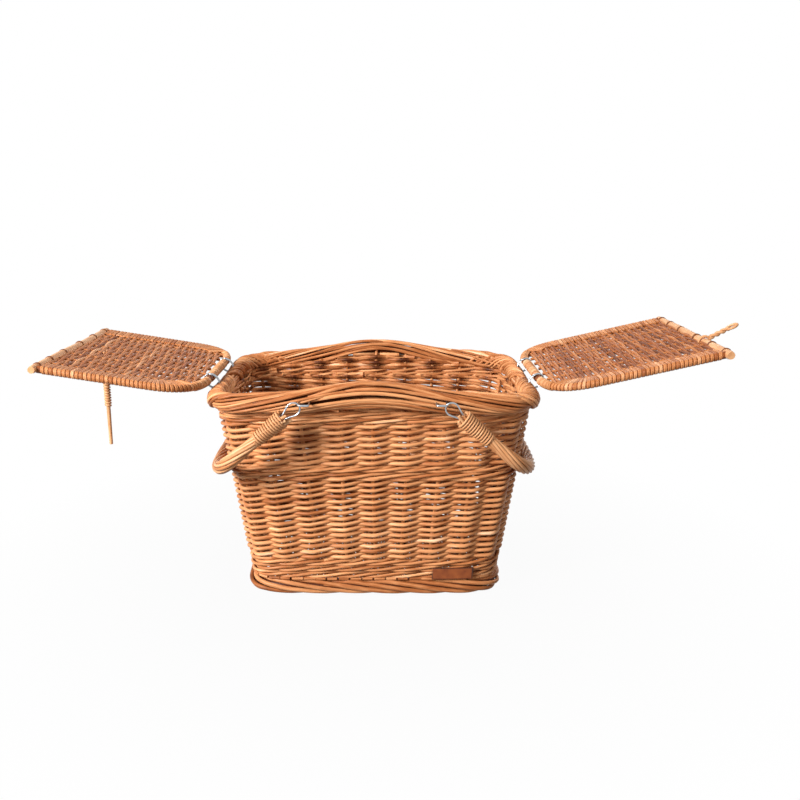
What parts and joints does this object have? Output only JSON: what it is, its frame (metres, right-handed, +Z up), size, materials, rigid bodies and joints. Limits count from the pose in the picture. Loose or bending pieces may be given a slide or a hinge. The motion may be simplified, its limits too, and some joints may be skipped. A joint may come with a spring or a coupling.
{
  "type": "picnic basket",
  "caption": "Flared willow picnic basket with an arched rolled rim, twin lids hinged at the ends, swing rope handles and a peg-and-loop closure.",
  "frame": {"origin": "on the floor under the centre of the base, within the lift of the base panel's underside", "axes": "+Z up, +X along the length towards the right lid, front towards -Y"},
  "size_m": [0.839, 0.3442, 0.3347],
  "materials": {
    "willow": "satin buff willow",
    "lid_willow": "satin buff willow, slightly pinker",
    "pale_willow": "satin pale willow skein",
    "steel": "bright galvanised wire",
    "leather": "matt brown leather"
  },
  "bodies": {
    "basket": {"lower_wale": "willow", "lower_weave": "willow", "middle_wale": "willow", "upper_weave": "willow", "upper_wale": "willow", "foot_border": "willow", "base_panel": "willow", "rim_border": "willow", "leather_patch": "leather", "left_hinge_ring_front": "steel", "left_staple_front": "steel", "left_hinge_ring_back": "steel", "left_staple_back": "steel", "right_hinge_ring_front": "steel", "right_staple_front": "steel", "right_hinge_ring_back": "steel", "right_staple_back": "steel"},
    "left_lid": {"left_lid_hoop": "lid_willow", "left_lid_weave": "lid_willow", "left_lid_wrap_front": "lid_willow", "left_lid_wrap_back": "lid_willow", "left_lid_rib_1": "lid_willow", "left_lid_rib_2": "lid_willow", "left_lid_rib_3": "lid_willow", "left_lid_rib_4": "lid_willow", "left_lid_rib_5": "lid_willow", "left_lid_rib_6": "lid_willow", "left_lid_rib_7": "lid_willow", "left_lid_bar": "pale_willow", "left_lid_hinge_wrap": "pale_willow", "peg_eye": "pale_willow"},
    "left_handle": {"left_grip": "pale_willow", "left_whipping_front": "pale_willow", "left_wire_loop_front": "steel", "left_whipping_back": "pale_willow", "left_wire_loop_back": "steel"},
    "right_lid": {"right_lid_hoop": "lid_willow", "right_lid_weave": "lid_willow", "right_lid_wrap_front": "lid_willow", "right_lid_wrap_back": "lid_willow", "right_lid_rib_1": "lid_willow", "right_lid_rib_2": "lid_willow", "right_lid_rib_3": "lid_willow", "right_lid_rib_4": "lid_willow", "right_lid_rib_5": "lid_willow", "right_lid_rib_6": "lid_willow", "right_lid_rib_7": "lid_willow", "right_lid_bar": "pale_willow", "right_lid_hinge_wrap": "pale_willow", "closing_loop": "pale_willow"},
    "right_handle": {"right_grip": "pale_willow", "right_whipping_front": "pale_willow", "right_wire_loop_front": "steel", "right_whipping_back": "pale_willow", "right_wire_loop_back": "steel"},
    "peg": {"peg_tether": "pale_willow", "peg": "pale_willow"}
  },
  "joints": [
    {"name": "left_lid_hinge", "type": "hinge", "parent": "basket", "child": "left_lid", "pos_m": [-0.2045, 0, 0.265], "axis": [0, 1, 0], "range_deg": [0, 159]},
    {"name": "right_lid_hinge", "type": "hinge", "parent": "basket", "child": "right_lid", "pos_m": [0.2045, 0, 0.265], "axis": [0, -1, 0], "range_deg": [0, 157.5]},
    {"name": "left_handle_swing", "type": "hinge", "parent": "basket", "child": "left_handle", "pos_m": [-0.084, 0, 0.258], "axis": [0, 1, 0], "range_deg": [0, 36]},
    {"name": "right_handle_swing", "type": "hinge", "parent": "basket", "child": "right_handle", "pos_m": [0.084, 0, 0.258], "axis": [0, -1, 0], "range_deg": [0, 36]},
    {"name": "peg_swing", "type": "hinge", "parent": "left_lid", "child": "peg", "pos_m": [-0.34915, 0, 0.27854], "axis": [0, 1, 0], "range_deg": [-60, 60]}
  ]
}
